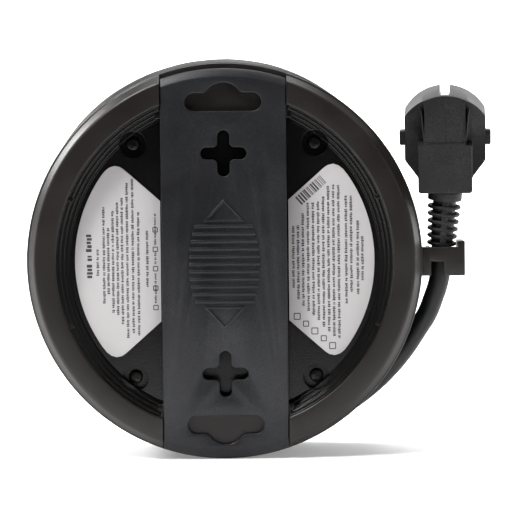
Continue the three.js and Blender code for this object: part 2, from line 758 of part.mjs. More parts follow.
// In the plug's own frame the pin face is at depth 0 and the body is behind it.
function plugBody() {
  const bounds = [
    [-plugHalfWidth, -plugThickness, -plugRadius],
    [plugHalfWidth, 0, plugRadius],
  ];
  let body = rod(plugRadius, -plugThickness, 0, 0, 0, 32).intersect(block(...bounds));
  const shoulder = plate(polygon([
    [-plugHalfWidth, 12],
    [-plugHalfWidth, -8],
    [-12, -16],
    [-12, -plugNeck],
    [12, -plugNeck],
    [12, -16],
    [plugHalfWidth, -8],
    [plugHalfWidth, 12],
  ]), -plugBack + 6, -6);
  const hump = plate(polygon([
    [-8.6, 13],
    [-6.6, -4],
    [-11, -5],
    [-11, -plugNeck],
    [11, -plugNeck],
    [11, -5],
    [6.6, -4],
    [8.6, 13],
  ]), -plugBack, -plugBack + 8);
  body = join(body, shoulder, hump);
  for (const side of [1, -1]) {
    const near = side * (plugHalfWidth - 1);
    const far = side * (plugHalfWidth + 2.3);
    const [low, high] = [Math.min(near, far), Math.max(near, far)];
    body = body.add(block([low, -plugThickness - 1, -3.2], [high, -plugThickness + 4, 3.2]));
    body = body.subtract(block([-2.3, -plugThickness - 1, side > 0 ? 15.8 : -30], [2.3, 1, side > 0 ? 30 : -15.8]));
    const seat = rod(plugPinRadius + gap, -6, 1, (side * pinSpacing) / 2, 0, 12);
    body = body.subtract(seat);
  }
  return body;
}

function plugPin(side) {
  const x = (side * pinSpacing) / 2;
  const pin = rod(plugPinRadius, -5.7, pinReach - 1, x, 0, 12);
  return pin.add(rod(plugPinRadius * 0.7, pinReach - 2, pinReach, x, 0, 12));
}

// The contact lies in the groove of the rim, between its floor and the edge.
function plugEarth(side) {
  const [low, high] = side > 0 ? [16.1, 17] : [-17, -16.1];
  return block([-2, -plugThickness + 1, low], [2, -1, high]);
}

// ---- The object ----
piece('back_shell', backShell(), 'shell');
const strapGroup = new THREE.Group();
strapGroup.position.z = strapRest;
reel.add(strapGroup);
piece('strap', strap(), 'strap', strapGroup);
piece('label_left', label(-1), 'label');
piece('label_right', label(1), 'label');
wells().forEach(([x, z], i) => {
  const seat = wellDepth - gap;
  const body = screw(x, z, seat, screwHeadRadius, screwHeadHeight, screwRadius, screwLength);
  piece(`case_screw_${i + 1}`, body, 'steel');
});
piece('front_shell', frontShell(), 'front');
for (let i = 0; i < 4; i += 1) {
  const angle = 45 + i * 90;
  piece(`socket_insert_${i + 1}`, around(socketCup(), angle), 'insert');
  piece(`shutter_${i + 1}`, around(shutter(), angle), 'carrier');
  piece(`earth_clip_${i + 1}`, around(earthClip(), angle), 'steel');
  const seat = coverBack - gap;
  const body = screw(postCentre, 0, seat, 2.9, 1.8, screwRadius, carrierBack + 8 - seat);
  piece(`carrier_screw_${i + 1}`, around(body, i * 90), 'steel');
}
piece('contact_carrier', contactCarrier(), 'carrier');
piece('contact_cover', contactCover(), 'carrier');
piece('live_bus', busStrip(liveStrip.inner, liveStrip.outer, 1), 'brass');
piece('neutral_bus', busStrip(neutralStrip.inner, neutralStrip.outer, -1), 'brass');
const earthBusFront = earthWebBack - gap;
piece('earth_bus', turned([
  [earthRing.inner, earthBusFront - stripThickness],
  [earthRing.outer, earthBusFront - stripThickness],
  [earthRing.outer, earthBusFront],
  [earthRing.inner, earthBusFront],
], 24), 'brass');
piece('thermal_cutout', thermalCutout(), 'cutout');
piece('bimetal_disc', rod(buttonRadius - 0.3, discSeat + gap, discSeat + gap + 0.6), 'brass');
piece('cutout_terminal_in', cutoutTerminal(-1), 'brass');
piece('cutout_terminal_out', cutoutTerminal(1), 'brass');
piece('reset_button', rod(buttonRadius, panelFace - 0.1 - buttonLength, panelFace - 0.1), 'button');
piece('inner_cord', innerCord(), 'cord');
piece('cord_clamp', cordClamp(), 'carrier');
piece('clamp_screw_1', clampScrew(1), 'steel');
piece('clamp_screw_2', clampScrew(-1), 'steel');
const leadDepth = coverBack - 4;
piece('live_lead', lead(0, [
  [-26, stubDepth + 1, 36],
  [-9, leadDepth, 13],
  [-5 - 0.4 - leadRadius - gap, cutoutBack - 9, 2],
  [-5 - 0.4 - leadRadius - gap, cutoutBack - 4, 0],
]), 'brown');
piece('neutral_lead', lead(-3, [
  [-34, stubDepth - 2, 30],
  [-31, leadDepth - 3, 14],
  onCircle(neutralJoint, coverBack + 0.5),
  onCircle(neutralJoint, busBack - gap),
]), 'blue');
piece('earth_lead', lead(3, [
  [-30, stubDepth + 4.5, 41],
  [-14, leadDepth - 1, 34],
  [0, coverBack - 3, 17],
  [0, coverBack + 5, 14.4],
  [0, earthBusFront - stripThickness - gap, 14.4],
]), 'green');
piece('cutout_lead', tube([
  [5 + 0.4 + leadRadius + gap, cutoutBack - 4, 0],
  [5 + 0.4 + leadRadius + gap, cutoutBack - 9, 1],
  [14, leadDepth, 5],
  onCircle([liveJoint[0] - 3, liveJoint[1]], leadDepth),
  onCircle(liveJoint, coverBack + 0.5),
  onCircle(liveJoint, busBack - gap),
], leadRadius, 12, 6), 'brown');
piece('cord_winding', cordWinding(), 'cord');
piece('cord_tail', tube(tailPoints, cordDiameter / 2, 14, 12), 'cord');
piece('strain_relief', strainRelief(), 'plug');
piece('plug_body', plugBody(), 'plug', plug);
piece('plug_pin_left', plugPin(-1), 'steel', plug);
piece('plug_pin_right', plugPin(1), 'steel', plug);
piece('plug_earth_top', plugEarth(1), 'steel', plug);
piece('plug_earth_bottom', plugEarth(-1), 'steel', plug);

const group = new THREE.Group();
group.add(reel);
export default group;
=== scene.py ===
import json
import math
import random

import bmesh
import bpy
from mathutils import Matrix, Vector

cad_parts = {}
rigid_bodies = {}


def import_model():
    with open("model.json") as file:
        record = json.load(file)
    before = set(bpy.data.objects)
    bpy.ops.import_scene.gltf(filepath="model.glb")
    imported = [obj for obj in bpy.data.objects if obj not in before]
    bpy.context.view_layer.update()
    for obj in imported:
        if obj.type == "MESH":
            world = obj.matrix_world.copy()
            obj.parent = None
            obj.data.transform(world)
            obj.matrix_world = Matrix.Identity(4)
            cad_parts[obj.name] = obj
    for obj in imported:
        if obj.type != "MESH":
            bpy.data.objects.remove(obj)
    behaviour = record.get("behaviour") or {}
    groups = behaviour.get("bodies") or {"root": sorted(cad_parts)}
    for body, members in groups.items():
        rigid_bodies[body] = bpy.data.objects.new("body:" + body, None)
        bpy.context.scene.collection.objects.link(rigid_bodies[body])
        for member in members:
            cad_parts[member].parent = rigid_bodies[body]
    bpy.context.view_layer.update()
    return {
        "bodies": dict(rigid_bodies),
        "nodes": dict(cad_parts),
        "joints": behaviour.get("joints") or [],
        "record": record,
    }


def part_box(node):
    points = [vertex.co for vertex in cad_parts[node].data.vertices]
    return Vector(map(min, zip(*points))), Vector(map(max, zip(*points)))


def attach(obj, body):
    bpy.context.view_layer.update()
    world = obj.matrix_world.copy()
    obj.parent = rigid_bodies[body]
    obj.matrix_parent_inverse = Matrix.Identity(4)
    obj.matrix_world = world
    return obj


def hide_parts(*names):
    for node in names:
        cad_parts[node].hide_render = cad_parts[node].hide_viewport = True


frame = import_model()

# The studio: the camera stands level with the reel's back, a long way off, and looks very
# slightly down. A pale sweep runs under the reel and up behind it. A large soft lamp hangs
# over its left shoulder and another overhead, and weak ones light its edges.
shell_low, shell_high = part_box("back_shell")
rim = (shell_high[2] - shell_low[2]) / 2
axis_point = Vector((shell_low[0] + rim, shell_low[1], rim))
from_axis = Matrix.Translation(axis_point) @ Matrix.Scale(0.001, 4)


def place(x, depth, z):
    """Millimetres from the reel's axis and its back face, as a point of the frame."""
    return from_axis @ Vector((x, depth, z))


view_distance = 1.3
view_height = math.radians(3)
target = place(15.2, 5, 0.4)
camera_data = bpy.data.cameras.new("camera")
camera_data.sensor_width = 36
camera_data.lens = 209.5
camera = bpy.data.objects.new("camera", camera_data)
camera.location = target + view_distance * Vector((0, -math.cos(view_height), math.sin(view_height)))
look = (target - camera.location).to_track_quat("-Z", "Y").to_matrix().to_4x4()
camera.matrix_world = Matrix.Translation(camera.location) @ look @ Matrix.Rotation(-0.01, 4, "Z")
bpy.context.scene.collection.objects.link(camera)
bpy.context.scene.camera = camera
bpy.context.scene.view_settings.view_transform = "Standard"

world = bpy.data.worlds.new("studio")
world.use_nodes = True
sky = world.node_tree
direction = sky.nodes.new("ShaderNodeTexCoord")
split = sky.nodes.new("ShaderNodeSeparateXYZ")
behind = sky.nodes.new("ShaderNodeMapRange")
behind.inputs["From Min"].default_value = -0.2
behind.inputs["From Max"].default_value = 0.9
behind.inputs["To Min"].default_value = 0.06
behind.inputs["To Max"].default_value = 0.9
sky.links.new(direction.outputs["Generated"], split.inputs["Vector"])
sky.links.new(split.outputs["Y"], behind.inputs["Value"])
sky.links.new(behind.outputs["Result"], sky.nodes["Background"].inputs["Strength"])
sky.nodes["Background"].inputs["Color"].default_value = (1, 1, 1, 1)
bpy.context.scene.world = world


def soft_lamp(name, position, aim, size, power):
    data = bpy.data.lights.new(name, "AREA")
    data.shape = "DISK"
    data.size = size
    data.energy = power
    lamp = bpy.data.objects.new(name, data)
    lamp.location = position
    lamp.rotation_euler = (Vector(aim) - Vector(position)).to_track_quat("-Z", "Y").to_euler()
    bpy.context.scene.collection.objects.link(lamp)


soft_lamp("key", (-0.6, -0.6, 1.2), place(0, 0, 0), 0.4, 20)
soft_lamp("top", (0.05, 0.25, 1.3), place(0, 30, 0), 0.9, 20)
soft_lamp("left_edge", (-0.95, 0.3, 0.75), place(0, 0, 0), 0.45, 16)
soft_lamp("right_edge", (1.0, 0.3, 0.1), place(0, 0, 0), 0.35, 4)
soft_lamp("left_low", (-1.1, 0.0, 0.1), place(0, 0, 0), 0.6, 3)
soft_lamp("fill", (0.9, -1.1, 0.35), place(0, 0, 0), 0.9, 1.5)

sweep_mesh = bpy.data.meshes.new("sweep")
sweep = bmesh.new()
sweep_profile = [(-0.35, 0), (1.2, 0)]
for step in range(1, 13):
    turn = step / 12 * math.pi / 2
    sweep_profile.append((1.2 + 0.6 * math.sin(turn), 0.6 - 0.6 * math.cos(turn)))
sweep_profile.append((1.8, 3.0))
edges = [[sweep.verts.new((x, y, z)) for y, z in sweep_profile] for x in (-3.5, 3.5)]
for i in range(len(sweep_profile) - 1):
    sweep.faces.new((edges[0][i], edges[1][i], edges[1][i + 1], edges[0][i + 1])).smooth = True
sweep.to_mesh(sweep_mesh)
sweep_object = bpy.data.objects.new("sweep", sweep_mesh)
bpy.context.scene.collection.objects.link(sweep_object)
paper = bpy.data.materials.new("white_sweep")
paper.use_nodes = True
paper.node_tree.nodes["Principled BSDF"].inputs["Base Color"].default_value = (0.93, 0.93, 0.93, 1)
paper.node_tree.nodes["Principled BSDF"].inputs["Roughness"].default_value = 0.8
glow = paper.node_tree.nodes.new("ShaderNodeMapRange")
where = paper.node_tree.nodes.new("ShaderNodeTexCoord")
parts = paper.node_tree.nodes.new("ShaderNodeSeparateXYZ")
paper.node_tree.links.new(where.outputs["Object"], parts.inputs["Vector"])
paper.node_tree.links.new(parts.outputs["Y"], glow.inputs["Value"])
glow.inputs["From Min"].default_value = 0.15
glow.inputs["From Max"].default_value = 1.1
glow.inputs["To Min"].default_value = 0.2
glow.inputs["To Max"].default_value = 1
shader = paper.node_tree.nodes["Principled BSDF"]
paper.node_tree.links.new(glow.outputs["Result"], shader.inputs["Emission Strength"])
shader.inputs["Emission Color"].default_value = (1, 1, 1, 1)
sweep_mesh.materials.append(paper)

# The mains cord: three cores of 1.5 square millimetres in a round black sheath. It comes out
# of the drum's wall on a slant, is wound in two layers, and its free end stands in the clip
# and goes up into the plug.
cord_width = 8.8
turn_pitch = 8.9
core_radius = 68.4
groove_start = 13.2
turns_across = 5
inner_layer = core_radius + 0.3 + cord_width / 2
outer_layer = inner_layer + 7.4
cross_start = 55
cross_end = 145
entry_angle = 175
last_angle = -20
bulge = 2.1
tail = [
    (83.6, 21.6, -31),
    (87.6, 20.6, -24.6),
    (90.4, 19.4, -17.4),
    (92.7, 18.2, -10),
    (93.8, 17.75, -2),
    (93.95, 17.65, 5.5),
    (94.3, 17.1, 10.5),
]


def eased(value):
    """0 to 1 with a soft start and end."""
    value = min(max(value, 0.0), 1.0)
    return value * value * (3 - 2 * value)


def wound(angle):
    """Radius and depth of the cord's middle, that many degrees along the winding."""
    crossings = (angle - cross_start) / 360
    whole = math.floor(crossings)
    turn = whole + eased((crossings - whole) * 360 / (cross_end - cross_start))
    climb = min(max(turn - turns_across, 0), 1)
    back = max(turn - turns_across - 1, 0)
    row = turn - 1 - climb / 2 - 2 * back
    lift = eased((math.cos(math.radians(angle - 102)) - 0.55) / 0.42) * min(3 * back, 1)
    radius = inner_layer + (outer_layer - inner_layer) * climb + bulge * lift
    return radius, groove_start + turn_pitch * (row + 0.5)


route = []
first = math.radians(entry_angle)
slant = math.radians(35)
start_radius = core_radius - 1.6
entry = Vector((start_radius * math.cos(first), start_radius * math.sin(first)))
bend = (inner_layer - start_radius) / (1 - math.cos(slant))
stretch = 8
for step in range(stretch):
    turn = slant * (1 - step / stretch)
    radius = inner_layer - bend * (1 - math.cos(turn))
    angle = first + bend * (math.sin(slant) - math.sin(turn)) / inner_layer
    route.append((radius * math.cos(angle), groove_start + turn_pitch / 2, radius * math.sin(angle)))
wind_start = entry_angle + math.degrees(bend * math.sin(slant) / inner_layer)
wind_end = 360 * (2 * turns_across) - 60
degrees = wind_start
while degrees < wind_end:
    radius, depth = wound(degrees)
    angle = math.radians(degrees)
    route.append((radius * math.cos(angle), depth, radius * math.sin(angle)))
    degrees += 12
radius, depth = wound(wind_end)
tail_radius = math.hypot(tail[0][0], tail[0][2])
for step in range(5):
    share = step / 5
    angle = math.radians(-60 + share * (last_angle + 60))
    reach = radius + (tail_radius - radius) * share ** 1.25
    level = depth + (tail[0][1] - depth) * share
    route.append((reach * math.cos(angle), level, reach * math.sin(angle)))
route += tail

cord_curve = bpy.data.curves.new("mains_cord", "CURVE")
cord_curve.dimensions = "3D"
cord_curve.bevel_depth = cord_width / 2000
cord_curve.bevel_resolution = 5
cord_curve.resolution_u = 4
cord_curve.use_fill_caps = True
spline = cord_curve.splines.new("BEZIER")
spline.bezier_points.add(len(route) - 1)
for knot, point in zip(spline.bezier_points, route):
    knot.co = place(*point)
    knot.handle_left_type = knot.handle_right_type = "AUTO"
mains_cord = bpy.data.objects.new("mains_cord", cord_curve)
bpy.context.scene.collection.objects.link(mains_cord)


def finish_of(name, colour, roughness, grain, depth, mottle=0.18, specular=0.3):
    """A moulded surface: fine grain in the tool, faint mottling, handling marks in the gloss."""
    material = bpy.data.materials.new(name)
    material.use_nodes = True
    nodes, links = material.node_tree.nodes, material.node_tree.links
    shader = nodes["Principled BSDF"]
    shader.inputs["Specular IOR Level"].default_value = specular
    where = nodes.new("ShaderNodeTexCoord")
    fine = nodes.new("ShaderNodeTexNoise")
    fine.inputs["Scale"].default_value = grain
    fine.inputs["Detail"].default_value = 4
    broad = nodes.new("ShaderNodeTexNoise")
    broad.inputs["Scale"].default_value = 45
    broad.inputs["Detail"].default_value = 5
    links.new(where.outputs["Object"], fine.inputs["Vector"])
    links.new(where.outputs["Object"], broad.inputs["Vector"])
    bump = nodes.new("ShaderNodeBump")
    bump.inputs["Distance"].default_value = depth
    bump.inputs["Strength"].default_value = 0.6
    links.new(fine.outputs["Fac"], bump.inputs["Height"])
    links.new(bump.outputs["Normal"], shader.inputs["Normal"])
    tone = nodes.new("ShaderNodeMix")
    tone.data_type = "RGBA"
    tone.inputs["A"].default_value = (*[c * (1 - mottle) for c in colour], 1)
    tone.inputs["B"].default_value = (*[min(c * (1 + mottle), 1) for c in colour], 1)
    links.new(broad.outputs["Fac"], tone.inputs["Factor"])
    links.new(tone.outputs["Result"], shader.inputs["Base Color"])
    gloss = nodes.new("ShaderNodeMapRange")
    gloss.inputs["From Min"].default_value = 0.3
    gloss.inputs["From Max"].default_value = 0.7
    gloss.inputs["To Min"].default_value = roughness - 0.06
    gloss.inputs["To Max"].default_value = roughness + 0.07
    links.new(broad.outputs["Fac"], gloss.inputs["Value"])
    links.new(gloss.outputs["Result"], shader.inputs["Roughness"])
    return material


cord_sheath = finish_of("black_cord_sheath", (0.0042, 0.005, 0.0046), 0.45, 900, 0.00004, 0.3)
cord_curve.materials.append(cord_sheath)
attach(mains_cord, "reel")
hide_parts("cord_winding", "cord_tail")

# Back shell: one black moulding that is the whole rear flange. A flat ring with a rounded lip
# runs down three ledges into a dish. The strap's notches, the deep screw wells and the cord's
# clip are part of it.
def mesh_of(build):
    """A mesh from what a function draws with bmesh."""
    drawing = bmesh.new()
    build(drawing)
    bmesh.ops.recalc_face_normals(drawing, faces=drawing.faces)
    mesh = bpy.data.meshes.new("shape")
    drawing.to_mesh(mesh)
    drawing.free()
    return mesh


def turned(profile, sides=192, middle=(0, 0)):
    """Revolved about the depth from a closed outline of (radius, depth) points."""
    def build(drawing):
        rings = []
        for radius, depth in profile:
            if radius == 0:
                rings.append([drawing.verts.new((middle[0], depth, middle[1]))] * sides)
                continue
            turns = [2 * math.pi * (i + 0.5) / sides for i in range(sides)]
            rings.append([drawing.verts.new((
                middle[0] + radius * math.cos(turn), depth, middle[1] + radius * math.sin(turn),
            )) for turn in turns])
        for ring, following in zip(rings, rings[1:] + rings[:1]):
            for i in range(sides):
                corners = [ring[i - 1], ring[i], following[i], following[i - 1]]
                corners = list(dict.fromkeys(corners))
                if len(corners) > 2:
                    drawing.faces.new(corners)
    return mesh_of(build)


def rod(radius, start, end, x=0, z=0, sides=48):
    return turned([(0, start), (radius, start), (radius, end), (0, end)], sides, (x, z))


def block(low, high, soft=0):
    """A box between two corners (x, depth, z), with soft edges if asked."""
    def build(drawing):
        bmesh.ops.create_cube(drawing, size=1)
        size = [b - a for a, b in zip(low, high)]
        middle = [(a + b) / 2 for a, b in zip(low, high)]
        drawing.transform(Matrix.Translation(middle) @ Matrix.Diagonal((*size, 1)))
        if soft:
            bmesh.ops.bevel(
                drawing, geom=drawing.edges[:], offset=soft, segments=3, affect="EDGES", profile=0.5
            )
    return mesh_of(build)


def moved(mesh, matrix):
    mesh.transform(matrix)
    return mesh


def around(mesh, degrees):
    """Turned about the reel's axis, from +X towards +Z."""
    return moved(mesh, Matrix.Rotation(math.radians(-degrees), 4, "Y"))


def shaped(mesh, *changes):
    """A mesh after others are added to it, cut from it or kept in common."""
    work = bpy.data.objects.new("work", mesh)
    bpy.context.scene.collection.objects.link(work)
    tools = []
    for way, tool in changes:
        other = bpy.data.objects.new("tool", tool)
        bpy.context.scene.collection.objects.link(other)
        tools.append(other)
        change = work.modifiers.new("change", "BOOLEAN")
        change.operation = way
        change.solver = "MANIFOLD"
        change.object = other
    bpy.context.view_layer.update()
    result = bpy.data.meshes.new_from_object(work.evaluated_get(bpy.context.evaluated_depsgraph_get()))
    for other in [work, *tools]:
        bpy.data.objects.remove(other)
    return result


def joined(*meshes):
    drawing = bmesh.new()
    for mesh in meshes:
        drawing.from_mesh(mesh)
    result = bpy.data.meshes.new("shape")
    drawing.to_mesh(result)
    drawing.free()
    return result


def show(name, mesh, material, body="reel", nodes=(), crease=32):
    """Puts a mesh drawn in millimetres in its place, as a piece that rides on a body."""
    mesh.transform(from_axis)
    mesh.shade_smooth()
    mesh.set_sharp_from_angle(angle=math.radians(crease))
    mesh.materials.clear()
    mesh.materials.append(material)
    shown = bpy.data.objects.new(name, mesh)
    bpy.context.scene.collection.objects.link(shown)
    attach(shown, body)
    if nodes:
        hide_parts(*nodes)
    return shown


def soften(material, radius):
    """Edges of a hard moulding catch the light over a small radius."""
    nodes, links = material.node_tree.nodes, material.node_tree.links
    edge = nodes.new("ShaderNodeBevel")
    edge.samples = 6
    edge.inputs["Radius"].default_value = radius
    links.new(edge.outputs["Normal"], nodes["Bump"].inputs["Normal"])
    return material


shell_black = finish_of("shell_black", (0.0118, 0.0096, 0.009), 0.36, 1500, 0.00008, 0.35, 0.3)
shell_black = soften(shell_black, 0.0004)


def shade_and_gloss_inside(material, radius, low, colour, roughness):
    """Inside that radius and below that depth the base colour is darkened as painted shade of the dish, and
    the surface is made glossier.
    """
    nodes, links = material.node_tree.nodes, material.node_tree.links
    where = nodes.new("ShaderNodeTexCoord")
    place_of = nodes.new("ShaderNodeVectorMath")
    place_of.operation = "SUBTRACT"
    place_of.inputs[1].default_value = axis_point
    flat = nodes.new("ShaderNodeVectorMath")
    flat.operation = "MULTIPLY"
    flat.inputs[1].default_value = (1, 0, 1)
    reach = nodes.new("ShaderNodeVectorMath")
    reach.operation = "LENGTH"
    links.new(where.outputs["Object"], place_of.inputs[0])
    links.new(place_of.outputs["Vector"], flat.inputs[0])
    links.new(flat.outputs["Vector"], reach.inputs[0])
    inside = nodes.new("ShaderNodeMapRange")
    inside.inputs["From Min"].default_value = radius - 0.0003
    inside.inputs["From Max"].default_value = radius + 0.0003
    inside.inputs["To Min"].default_value = 1
    inside.inputs["To Max"].default_value = 0
    links.new(reach.outputs["Value"], inside.inputs["Value"])
    split = nodes.new("ShaderNodeSeparateXYZ")
    links.new(place_of.outputs["Vector"], split.inputs["Vector"])
    below = nodes.new("ShaderNodeMapRange")
    below.inputs["From Min"].default_value = low - 0.0003
    below.inputs["From Max"].default_value = low + 0.0003
    links.new(split.outputs["Y"], below.inputs["Value"])
    pad = nodes.new("ShaderNodeMath")
    pad.operation = "ABSOLUTE"
    links.new(split.outputs["X"], pad.inputs[0])
    beside = nodes.new("ShaderNodeMath")
    beside.operation = "GREATER_THAN"
    beside.inputs[1].default_value = 0.0274
    links.new(pad.outputs["Value"], beside.inputs[0])
    either = nodes.new("ShaderNodeMath")
    either.operation = "MAXIMUM"
    links.new(below.outputs["Result"], either.inputs[0])
    links.new(beside.outputs["Value"], either.inputs[1])
    both = nodes.new("ShaderNodeMath")
    both.operation = "MULTIPLY"
    links.new(inside.outputs["Result"], both.inputs[0])
    links.new(either.outputs["Value"], both.inputs[1])
    shader = nodes["Principled BSDF"]
    for socket, value in (("Base Color", (*colour, 1)), ("Roughness", roughness)):
        before = shader.inputs[socket].links[0].from_socket
        blend = nodes.new("ShaderNodeMix")
        blend.data_type = "RGBA" if socket == "Base Color" else "FLOAT"
        first, second = [i for i in blend.inputs if i.enabled and i.name in ("A", "B")]
        second.default_value = value
        links.new(both.outputs["Value"], blend.inputs["Factor"])
        links.new(before, first)
        links.new([o for o in blend.outputs if o.enabled][0], shader.inputs[socket])
    return material


wells = [(39.2, 50.4), (-39.2, 50.4), (-39.2, -50.4), (39.2, -50.4)]
dish_floor = 11
floor_radius = 67.1
groove_end = groove_start + (turns_across + 0.5) * turn_pitch
envelope = [
    (0, 13.2), (0, dish_floor), (floor_radius - 0.5, dish_floor), (floor_radius, 10.5),
    (67.1, 8.75), (67.25, 8.4), (67.6, 8.25), (68.5, 8.25), (68.8, 7.95),
    (68.8, 6.0), (68.95, 5.65), (69.3, 5.5), (70.2, 5.5), (70.5, 5.2),
    (70.5, 3.25), (70.65, 2.9), (71.0, 2.75), (71.9, 2.75), (72.2, 2.45),
    (72.2, 1.1), (72.28, 0.62), (72.5, 0.28), (72.85, 0.06), (73.2, 0),
    (80.2, 0), (80.8, 0.06), (81.3, 0.24), (81.75, 0.58), (82.1, 1.0),
    (83.95, 3.55), (84.15, 3.75), (84.4, 3.85), (84.7, 3.95), (84.92, 4.2), (85, 4.55), (85, 13.2),
]


def back_shell():
    hollow = [(74.6, 2.4), (80.2, 2.4), (82.8, 5.4), (82.8, 14.2), (70.2, 14.2)]
    changes = [("DIFFERENCE", turned(hollow))]
    for i in range(8):
        rib = block((70, 2, -0.8), (82.5, groove_start, 0.8))
        changes.append(("UNION", around(rib, 22.5 + i * 45)))
    for side in (1, -1):
        seat = block((-29.4, -1, min(side * 53, side * 90)), (29.4, 6.3, max(side * 53, side * 90)))
        changes.append(("UNION", shaped(turned(envelope), ("INTERSECT", seat))))
        pad = block((-29.4, 4.1, min(side * 61.4, side * 73)), (29.4, 6.3, max(side * 61.4, side * 73)), 0.3)
        changes.append(("UNION", shaped(pad, ("INTERSECT", rod(73.8, 0, 20, 0, 0, 192)))))
        notch = block((-27.2, -1, min(side * 53, side * 90)), (27.2, 4.1, max(side * 53, side * 90)))
        changes.append(("DIFFERENCE", notch))
        inner, outer, lip = side * 18, side * 20, side * 22
        rails = [(inner, outer, 4.1, 11.5, 56.5), (inner, lip, 4.1, 5.9, 56.5)]
        for a, b, start, end, long in rails:
            changes.append(("UNION", block((min(a, b), start, -long), (max(a, b), end, long))))
        for end in (1, -1):
            low, high = sorted((end * 56.4, end * 58.5))
            near, far = sorted((inner, side * 24.1))
            changes.append(("UNION", block((near, 4.1, low), (far, 11.5, high))))
    for x, z in wells:
        cup = shaped(rod(7, dish_floor + 0.1, 18.7, x, z), ("INTERSECT", rod(68.4, 0, 30)))
        changes.append(("UNION", cup))
        mouth = [(0, -1), (5.8, -1), (5.8, 17), (0, 17)]
        changes.append(("DIFFERENCE", shaped(turned(mouth, 64, (x, z)), ("INTERSECT", rod(67.4, 11, 30)))))
        changes.append(("DIFFERENCE", rod(5.8, -1, dish_floor + 0.2, x, z, 64)))
        changes.append(("DIFFERENCE", rod(1.8, 16, 20, x, z, 24)))
    depth = 17.65 + cord_width / 2 + 3
    walls = [
        ((83.8, 7.4, -7.3), (88.9, 13.2, 5.1)),
        ((87.4, 7.4, -4.2), (88.9, depth, 5.1)),
        ((100.5, 7.4, -7.3), (103.5, depth, 7.7)),
        ((88.2, 7.4, -1.1), (102.5, 9.8, 5.1)),
        ((94.3, 7.4, -7.3), (102.5, 9.8, 1.2)),
    ]
    for low, high in walls:
        changes.append(("UNION", block(low, high, 0.5)))
    return shaped(turned(envelope), *changes)


show("back_shell_moulding", back_shell(), shell_black, nodes=["back_shell"])

# Strap: a flat moulded band in the same black, a shade bluer, held by hooks that run under two
# rails. It has a ribbed grip with an arrow at each end of it, two screw keyholes and two
# hanging slots.
def rounded(points, radius, steps=4):
    """A closed outline with its corners rounded."""
    result = []
    for before, corner, after in zip(points[-1:] + points[:-1], points, points[1:] + points[:1]):
        here = Vector(corner)
        back, on = Vector(before) - here, Vector(after) - here
        reach = min(radius, back.length * 0.45, on.length * 0.45)
        start, end = here + back.normalized() * reach, here + on.normalized() * reach
        for i in range(steps + 1):
            t = i / steps
            result.append(tuple(start * (1 - t) ** 2 + here * 2 * t * (1 - t) + end * t * t))
    return result


def arc(x, z, radius, start, end, steps=16):
    turns = [math.radians(start + (end - start) * i / steps) for i in range(steps + 1)]
    return [(x + radius * math.cos(turn), z + radius * math.sin(turn)) for turn in turns]


def plate(outline, start, end, edge, holes=()):
    """A flat plate of an outline drawn in x and z, with softened edges round it and its holes."""
    curve = bpy.data.curves.new("outline", "CURVE")
    curve.dimensions = "2D"
    curve.fill_mode = "BOTH"
    curve.extrude = (end - start) / 2 - edge
    curve.bevel_depth = edge
    curve.bevel_resolution = 2
    curve.offset = -edge
    for points, direction in [(outline, 1), *[(hole, -1) for hole in holes]]:
        area = sum(a[0] * b[1] - b[0] * a[1] for a, b in zip(points, points[1:] + points[:1]))
        ordered = points if area * direction > 0 else points[::-1]
        loop = curve.splines.new("POLY")
        loop.points.add(len(ordered) - 1)
        for knot, (x, z) in zip(loop.points, ordered):
            knot.co = (x, z, 0, 1)
        loop.use_cyclic_u = True
    work = bpy.data.objects.new("work", curve)
    bpy.context.scene.collection.objects.link(work)
    bpy.context.view_layer.update()
    flat = bpy.data.meshes.new_from_object(work.evaluated_get(bpy.context.evaluated_depsgraph_get()))
    bpy.data.objects.remove(work)
    stand = Matrix.Translation((0, (start + end) / 2, 0)) @ Matrix.Rotation(math.pi / 2, 4, "X")
    drawing = bmesh.new()
    drawing.from_mesh(flat)
    bmesh.ops.remove_doubles(drawing, verts=drawing.verts[:], dist=0.001)
    bmesh.ops.recalc_face_normals(drawing, faces=drawing.faces)
    drawing.to_mesh(flat)
    drawing.free()
    return moved(flat, stand)


strap_black = finish_of("strap_black", (0.0125, 0.0128, 0.0146), 0.34, 1500, 0.00012, 0.6, 0.24)
strap_black = soften(strap_black, 0.0005)
strap_rest = Matrix.Translation((0, 0, -0.9))


def scuff(material, colour, amount):
    """Fine pale speckle and soft clouds, as handling leaves on a matt moulding."""
    nodes, links = material.node_tree.nodes, material.node_tree.links
    where = nodes.new("ShaderNodeTexCoord")
    specks = nodes.new("ShaderNodeTexNoise")
    specks.inputs["Scale"].default_value = 1600
    specks.inputs["Detail"].default_value = 3
    clouds = nodes.new("ShaderNodeTexNoise")
    clouds.inputs["Scale"].default_value = 38
    clouds.inputs["Detail"].default_value = 6
    for noise in (specks, clouds):
        links.new(where.outputs["Object"], noise.inputs["Vector"])
    product = nodes.new("ShaderNodeMath")
    product.operation = "MULTIPLY"
    links.new(specks.outputs["Fac"], product.inputs[0])
    links.new(clouds.outputs["Fac"], product.inputs[1])
    range_of = nodes.new("ShaderNodeMapRange")
    range_of.inputs["From Min"].default_value = 0.2
    range_of.inputs["From Max"].default_value = 0.42
    range_of.inputs["To Max"].default_value = amount
    links.new(product.outputs["Value"], range_of.inputs["Value"])
    mix = nodes.new("ShaderNodeMix")
    mix.data_type = "RGBA"
    shader = nodes["Principled BSDF"]
    links.new(shader.inputs["Base Color"].links[0].from_socket, mix.inputs["A"])
    mix.inputs["B"].default_value = (*colour, 1)
    links.new(range_of.outputs["Result"], mix.inputs["Factor"])
    links.new(mix.outputs["Result"], shader.inputs["Base Color"])


